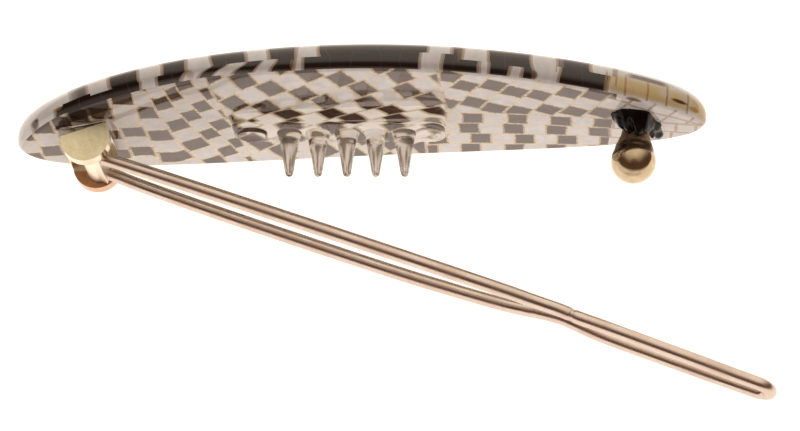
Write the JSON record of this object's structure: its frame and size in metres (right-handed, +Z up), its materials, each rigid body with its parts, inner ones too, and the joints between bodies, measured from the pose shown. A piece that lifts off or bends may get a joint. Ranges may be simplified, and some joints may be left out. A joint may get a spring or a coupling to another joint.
{
  "type": "hair barrette",
  "caption": "Long oval hair barrette in black, white and honey checked acetate, with a hinged wire loop that snaps on to a ball stud and a short clear comb.",
  "frame": {"origin": "bottom centre of the bounding box, on the surface that the barrette lies on", "axes": "+X along the barrette from the hinge to the stud, +Z up as it lies on its long edge, +Y on the side of the plate's convex face"},
  "size_m": [0.109, 0.0513, 0.0326],
  "materials": {
    "acetate": "gloss",
    "clear_plastic": "gloss",
    "clear_cement": "gloss",
    "dark_resin": "gloss",
    "hinge_metal": "satin",
    "wire_metal": "polished",
    "stud_metal": "polished"
  },
  "bodies": {
    "clip": {"plate": "acetate", "comb_pad": "clear_plastic", "hinge_seat": "clear_cement", "hinge_bracket": "hinge_metal", "hinge_pin": "hinge_metal", "stud_seat": "dark_resin", "ball_stud": "stud_metal"},
    "wire": {"hinge_barrel": "hinge_metal", "wire_loop": "wire_metal"}
  },
  "joints": [
    {"name": "wire_swing", "type": "hinge", "parent": "clip", "child": "wire", "pos_m": [-0.04313, 0.00982, 0.01111], "axis": [0.0637, 0.4083, -0.9106], "range_deg": [-16, 145]}
  ]
}
